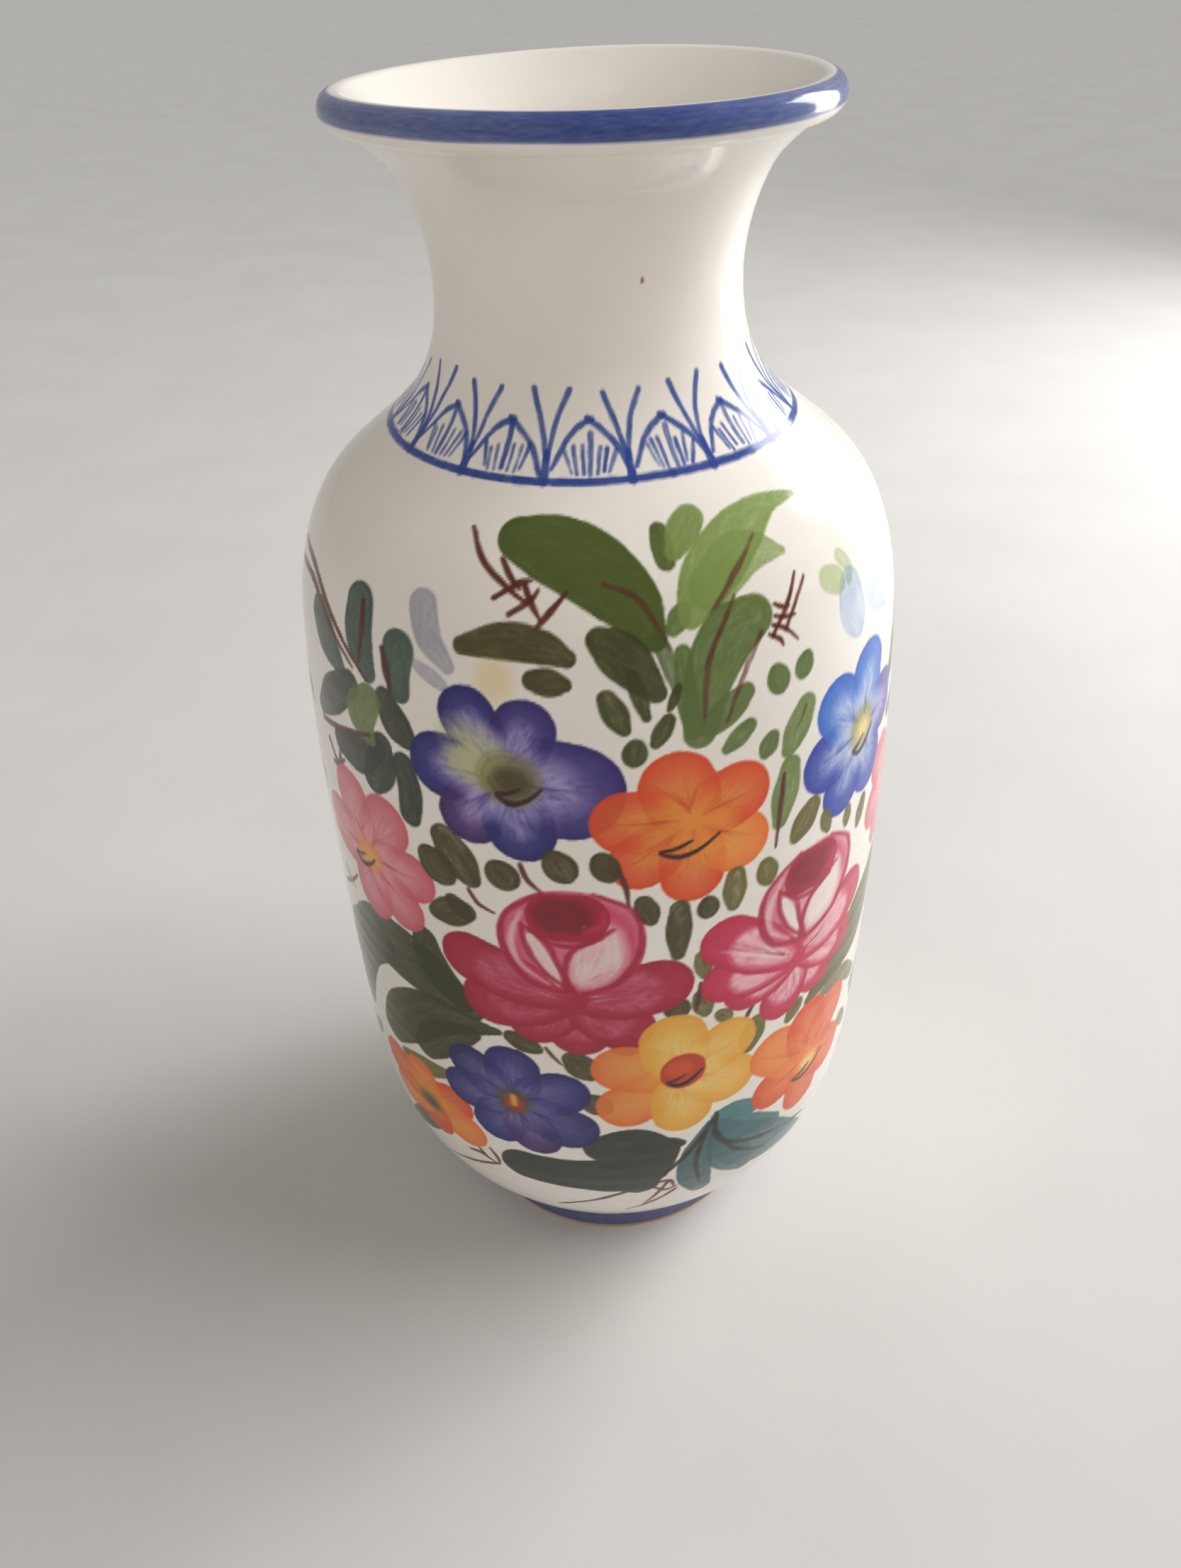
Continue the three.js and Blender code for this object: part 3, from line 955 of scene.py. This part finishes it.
def bouquet(sheet):
    """The whole painting of one side, from the leaves at the back to the last small strokes."""
    for paint in (leaves_behind, foot_leaves, top_spray, left_cluster, blue_flower, orange_flower,
                  sky_flower, pink_flower, filling_dabs, small_flowers, roses, violet_flower,
                  yellow_flower, lower_orange_flower, brush_wipes):
        paint(sheet)


# ---------------------------------------------------------------- the sections of the pot

def coated(count, colour, bare=0.0):
    """One plain colour and bareness for count rows of vertices."""
    return np.tile(np.append(colour, bare), (count, COLUMNS, 1))


def painted(sheet, rows):
    """The painting on some rows of the sheet, with no bare clay in it."""
    colour = sheet.colour[rows]
    return np.concatenate([colour, np.zeros(colour.shape[:2] + (1,))], axis=2)


def wavering(size, seed):
    """A slow random wander round the pot, up to about size either way."""
    waves = sum(np.sin(count * ANGLES + seed * count * 1.7) / count for count in (2, 3, 5, 9, 14))
    return size * waves / 2


def bristles_round(row):
    """The bristle marks of a band that is painted while the pot turns."""
    return GRAIN[(row * 7) % GRAIN_SIZE, (np.arange(COLUMNS) // 3) % GRAIN_SIZE]


def section(node, slot_name, outside, colours, inside):
    """A ring of the wall: its painted outside going up and its plain glazed inside coming down."""
    down = respaced(inside, INSIDE_STEP)[::-1]
    outline = np.vstack([outside, down])
    coat = np.concatenate([colours, coated(len(down), WHITE)])
    turned(node, slot_name, outline, coat, (0, len(outside) - 1, len(outside), len(outline) - 1))


# The blue band round the lip, in degrees round the bead, from 0 at its outermost.
BEAD_START = -90
BEAD_END = 120
BEAD_ROWS = 36
BAND_START = -24
BAND_END = 84
BAND_FADE = 9


def lip_piece(outside_end, inside_end):
    """The rolled lip, with a blue band round the bead whose edges wander as the brush did."""
    centre = np.array([LIP_RADIUS - LIP_ROLL, LIP_TOP - LIP_ROLL])
    angles = np.linspace(BEAD_START, BEAD_END, BEAD_ROWS)
    turn = np.radians(angles)
    bead = centre + LIP_ROLL * np.stack([np.cos(turn), np.sin(turn)], axis=1)
    under = np.linspace(outside_end, bead[0], 5)[:-1]
    over = np.linspace(bead[-1], inside_end, 8)[1:]
    closing = np.linspace(inside_end, outside_end, 4)[1:-1]
    outline = np.vstack([under, bead, over, closing])
    coat = coated(len(outline), WHITE)
    low_edge = BAND_START + wavering(13, 1)
    high_edge = BAND_END + wavering(9, 2)
    fullness = 0.94 + 0.12 * np.sin(3 * ANGLES + 1) + wavering(0.1, 3)
    for row, angle in enumerate(angles):
        rising = np.clip((angle - low_edge) / BAND_FADE, 0, 1)
        falling = np.clip((high_edge - angle) / BAND_FADE, 0, 1)
        ink = (rising * falling * (fullness - 0.22 * bristles_round(row)))[:, None]
        coat[len(under) + row, :, :3] = WHITE * (1 - ink) + COBALT * ink
    turned("rim_roll", "rim_glaze", outline, coat, (0, len(under) + len(bead) + len(over) - 1))


HEEL_RADIUS = 0.9
GLAZE_EDGE = 1.1
GLAZE_EDGE_FADE = 0.3


def foot_piece():
    """The foot ring: a blue band outside, and clay left bare where it stands."""
    tread_end = FOOT_BOTTOM_RADIUS - HEEL_RADIUS
    tread = np.linspace((FOOT_BORE_RADIUS, 0), (tread_end, 0), 8)[:-1]
    turn = np.radians(np.linspace(-90, 0, 7))[:-1]
    heel = np.stack([tread_end + HEEL_RADIUS * np.cos(turn), HEEL_RADIUS * (1 + np.sin(turn))], axis=1)
    side = np.linspace((FOOT_BOTTOM_RADIUS, HEEL_RADIUS), (FOOT_TOP_RADIUS, WALL_START), 24)
    ledge = FLOOR_LOW - SLIP_GAP
    within = [(FLOOR_RADIUS, WALL_START), (FLOOR_RADIUS, ledge), (FOOT_BORE_RADIUS, ledge)]
    outline = np.vstack([tread, heel, side, within])
    coat = coated(len(outline), CLAY, bare=1.0)
    edge = GLAZE_EDGE + wavering(0.5, 4)
    top = len(outline) - len(within)
    for row in range(len(tread), top):
        glazed = np.clip((outline[row, 1] - edge) / GLAZE_EDGE_FADE, 0, 1)
        ink = (glazed * (0.95 - 0.25 * bristles_round(row)))[:, None]
        coat[row, :, :3] = coat[row, :, :3] * (1 - ink) + COBALT * ink
        coat[row, :, 3] = 1 - glazed
    turned("foot_ring", "foot_glaze", outline, coat, (0, top - 1, top, top + 1, top + 2))


AXIS_HOLE = 0.02


def floor_piece():
    """The disc that closes the pot, glazed above and bare beneath."""
    low = np.linspace((AXIS_HOLE, FLOOR_LOW), (FLOOR_RADIUS, FLOOR_LOW), 12)
    high = np.linspace((FLOOR_RADIUS, FLOOR_TOP), (AXIS_HOLE, FLOOR_TOP), 12)
    coat = np.concatenate([coated(len(low), CLAY, bare=1.0), coated(len(high), WHITE)])
    turned("base_disc", "bare_clay", np.vstack([low, high]), coat, (len(low) - 1, len(low)))


# ---------------------------------------------------------------- materials

# Where a Mix node of each kind keeps its factor, its two inputs and its result. Their names are alike.
MIX_SOCKETS = {"RGBA": (0, 6, 7, 2), "FLOAT": (0, 2, 3, 0)}


class Nodes:
    """Short calls for building one material's node tree."""

    def __init__(self, name):
        self.material = bpy.data.materials.new(name)
        self.material.use_nodes = True
        self.tree = self.material.node_tree
        self.shader = self.tree.nodes["Principled BSDF"]

    def add(self, kind, **values):
        """A new node; each value is one of its settings, or else the value of an input."""
        node = self.tree.nodes.new(kind)
        for key, value in values.items():
            if hasattr(node, key):
                setattr(node, key, value)
            else:
                node.inputs[key].default_value = value
        return node

    def feed(self, value, socket):
        """Links an output to a socket, or sets a plain value on it."""
        if isinstance(value, bpy.types.NodeSocket):
            self.tree.links.new(value, socket)
        else:
            socket.default_value = value

    def mix(self, factor, first, second, kind="RGBA", blend="MIX"):
        factor_at, first_at, second_at, result_at = MIX_SOCKETS[kind]
        node = self.add("ShaderNodeMix", data_type=kind, blend_type=blend)
        self.feed(factor, node.inputs[factor_at])
        self.feed(first, node.inputs[first_at])
        self.feed(second, node.inputs[second_at])
        return node.outputs[result_at]

    def math(self, operation, first, second):
        node = self.add("ShaderNodeMath", operation=operation)
        self.feed(first, node.inputs[0])
        self.feed(second, node.inputs[1])
        return node.outputs[0]

    def texture(self, kind, **values):
        """A texture that is fixed to the piece, in metres."""
        node = self.add(kind, **values)
        self.feed(self.add("ShaderNodeTexCoord").outputs["Object"], node.inputs["Vector"])
        return node

    def noise(self, scale, detail=3, rough=0.5):
        node = self.texture("ShaderNodeTexNoise", Scale=scale, Detail=detail, Roughness=rough)
        return node.outputs["Fac"]

    def remap(self, value, low, high, to_low, to_high):
        """Stretches a value from one range to another and holds it at the ends."""
        node = self.add("ShaderNodeMapRange")
        self.feed(value, node.inputs["Value"])
        for key, number in (("From Min", low), ("From Max", high), ("To Min", to_low), ("To Max", to_high)):
            node.inputs[key].default_value = number
        return node.outputs["Result"]


CLEAR = (1, 1, 1, 1)
CLOUD_TINT = (0.945, 0.925, 0.89, 1)
PINHOLE_BROWN = (0.16, 0.09, 0.05, 1)
GRIT_DARK = (0.86, 0.86, 0.86, 1)
GRIT_LIGHT = (1.1, 1.08, 1.05, 1)
GLAZE_INDEX = 1.52
CLAY_ROUGHNESS = 0.85


def pinholes(nodes):
    """1 in the few small pits that burst bubbles leave in the glaze, and 0 elsewhere."""
    pits = nodes.texture("ShaderNodeTexVoronoi", Scale=95, Randomness=1)
    near_pit = nodes.remap(pits.outputs["Distance"], 0.028, 0.05, 1, 0)
    chosen = nodes.remap(nodes.noise(60, detail=1), 0.6, 0.63, 0, 1)
    return nodes.math("MULTIPLY", near_pit, chosen)


def fired_glaze(name):
    """Tin glaze over clay: the fired painting under gloss, with mottling, pinholes and bare clay."""
    nodes = Nodes(name)
    paint = nodes.add("ShaderNodeAttribute", attribute_name="paint").outputs["Color"]
    bare = nodes.add("ShaderNodeAttribute", attribute_name="bare").outputs["Fac"]
    pit = pinholes(nodes)
    grit = nodes.remap(nodes.noise(900, detail=5, rough=0.7), 0.35, 0.7, 0, 1)

    cloud = nodes.mix(nodes.remap(nodes.noise(38, detail=4), 0.3, 0.75, 0, 1), CLEAR, CLOUD_TINT)
    glazed = nodes.mix(pit, nodes.mix(1.0, paint, cloud, blend="MULTIPLY"), PINHOLE_BROWN)
    clay = nodes.mix(1.0, paint, nodes.mix(grit, GRIT_DARK, GRIT_LIGHT), blend="MULTIPLY")
    nodes.feed(nodes.mix(bare, glazed, clay), nodes.shader.inputs["Base Color"])

    gloss = nodes.remap(nodes.noise(70, detail=3), 0.3, 0.7, 0.09, 0.17)
    nodes.feed(nodes.mix(bare, gloss, CLAY_ROUGHNESS, kind="FLOAT"), nodes.shader.inputs["Roughness"])
    nodes.shader.inputs["IOR"].default_value = GLAZE_INDEX

    ripple = nodes.math("SUBTRACT", nodes.noise(130, detail=2), pit)
    bump = nodes.add("ShaderNodeBump", Strength=0.35, Distance=0.00025)
    nodes.feed(nodes.mix(bare, ripple, grit, kind="FLOAT"), bump.inputs["Height"])
    nodes.feed(bump.outputs["Normal"], nodes.shader.inputs["Normal"])
    return nodes.material


FLOOR_GREY = (0.60, 0.59, 0.575, 1)
FLOOR_PALE = (0.63, 0.62, 0.605, 1)
FLOOR_ROUGHNESS = 0.75


def pale_floor():
    """A plain pale surface with faint clouds in its colour."""
    nodes = Nodes("pale_floor")
    shade = nodes.remap(nodes.noise(14, detail=2), 0.3, 0.7, 0, 1)
    nodes.feed(nodes.mix(shade, FLOOR_GREY, FLOOR_PALE), nodes.shader.inputs["Base Color"])
    nodes.shader.inputs["Roughness"].default_value = FLOOR_ROUGHNESS
    return nodes.material


# ---------------------------------------------------------------- the studio

# The camera and the room, in metres and degrees.
CAMERA_DISTANCE = 0.2356
CAMERA_HEIGHT = 0.30497
CAMERA_YAW = math.radians(-0.84)
CAMERA_PITCH = math.radians(37.14)
CAMERA_ROLL = math.radians(-2.4)
CAMERA_NEAR = 0.01
LENS = 27.05
SENSOR = 36
FLOOR_HALF_WIDTH = 40
LAMPS_FACE = (0, 0, 0.15)
SKY_COLOUR = (0.97, 0.94, 0.9, 1)
SKY_STRENGTH = 0.36


def studio_floor():
    mesh = bpy.data.meshes.new("floor")
    sides = ((-1, -1), (1, -1), (1, 1), (-1, 1))
    corners = [(FLOOR_HALF_WIDTH * x, FLOOR_HALF_WIDTH * y, 0) for x, y in sides]
    mesh.from_pydata(corners, [], [range(len(corners))])
    mesh.materials.append(pale_floor())
    floor = bpy.data.objects.new("floor", mesh)
    bpy.context.scene.collection.objects.link(floor)


def hang(name, light, place, mirrored):
    """A lamp that faces the middle of the pot; the glaze shows no glint of one that isn't mirrored."""
    lamp = bpy.data.objects.new(name, light)
    lamp.location = place
    lamp.rotation_euler = (Vector(LAMPS_FACE) - Vector(place)).to_track_quat("-Z", "Y").to_euler()
    lamp.visible_glossy = mirrored
    bpy.context.scene.collection.objects.link(lamp)


def soft_light(name, place, size, watts, colour, mirrored=True):
    light = bpy.data.lights.new(name, "AREA")
    light.shape = "RECTANGLE"
    light.size, light.size_y = size
    light.energy = watts
    light.color = colour
    hang(name, light, place, mirrored)


def daylight(place, strength, spread):
    """An even, soft light over the whole floor."""
    light = bpy.data.lights.new("daylight", "SUN")
    light.energy = strength
    light.angle = math.radians(spread)
    hang("daylight", light, place, mirrored=False)


def lights():
    """A tall window at the right, a weak warm fill in front, and daylight all round."""
    daylight((0.9, 0.1, 0.95), strength=1.8, spread=40)
    soft_light("window", (0.85, 0.56, 0.42), size=(0.45, 0.9), watts=11, colour=(1.0, 0.99, 0.98))
    soft_light("front_fill", (-0.4, -1.4, 1.1), size=(1.4, 1.4), watts=4.5, colour=(1.0, 0.86, 0.75),
               mirrored=False)
    world = bpy.data.worlds.new("studio")
    world.use_nodes = True
    sky = world.node_tree.nodes["Background"]
    sky.inputs["Color"].default_value = SKY_COLOUR
    sky.inputs["Strength"].default_value = SKY_STRENGTH
    bpy.context.scene.world = world
    bpy.context.scene.view_settings.view_transform = "Standard"


def camera():
    """A close, high view of the front, as tilted as it was held."""
    lens = bpy.data.cameras.new("camera")
    lens.lens = LENS
    lens.sensor_width = SENSOR
    lens.clip_start = CAMERA_NEAR
    forward = Vector((math.sin(CAMERA_YAW) * math.cos(CAMERA_PITCH),
                      math.cos(CAMERA_YAW) * math.cos(CAMERA_PITCH), -math.sin(CAMERA_PITCH)))
    level = Vector((math.cos(CAMERA_YAW), -math.sin(CAMERA_YAW), 0))
    upright = level.cross(forward)
    right = math.cos(CAMERA_ROLL) * level + math.sin(CAMERA_ROLL) * upright
    up = math.cos(CAMERA_ROLL) * upright - math.sin(CAMERA_ROLL) * level
    eye = bpy.data.objects.new("camera", lens)
    turn = Matrix((right, up, -forward)).transposed().to_4x4()
    eye.matrix_world = Matrix.Translation((0, -CAMERA_DISTANCE, CAMERA_HEIGHT)) @ turn
    bpy.context.scene.collection.objects.link(eye)
    bpy.context.scene.camera = eye


# ---------------------------------------------------------------- putting it together

def build():
    """Paints the whole wall as one sheet, then cuts it at the seams into the sections of the pot."""
    barrel = respaced(spline(BARREL, SPLINE_STEPS), ROW_STEP)
    collar = respaced(spline(COLLAR, SPLINE_STEPS), ROW_STEP)
    lower, upper = cut_at(barrel, BELLY_HEIGHT)
    outside = np.vstack([lower, upper[1:], collar[1:]])
    seam = len(lower) - 1
    crease = seam + len(upper) - 1

    sheet = Sheet(outside)
    for sheet.turn in (180, 0):
        bouquet(sheet)
    neck_border(sheet, sheet.up[crease])
    blob(sheet, (18, sheet.up[crease] + 34), 0.45, 0.8, BROWN, opacity=0.75)

    inside_low, inside_high = cut_at(moved_in(barrel, BARREL_WALL), BELLY_HEIGHT)
    above_floor = cut_at(inside_low, FLOOR_TOP)[1]
    insides = {"lower_body": above_floor, "upper_body": inside_high, "neck": moved_in(collar, COLLAR_WALL)}
    ends = (0, seam, crease, len(outside) - 1)
    for (node, inside), start, end in zip(insides.items(), ends, ends[1:]):
        rows = slice(start, end + 1)
        section(node, node + "_glaze", outside[rows], painted(sheet, rows), inside)
    lip_piece(outside[-1], insides["neck"][-1])
    foot_piece()
    floor_piece()


build()
studio_floor()
lights()
camera()
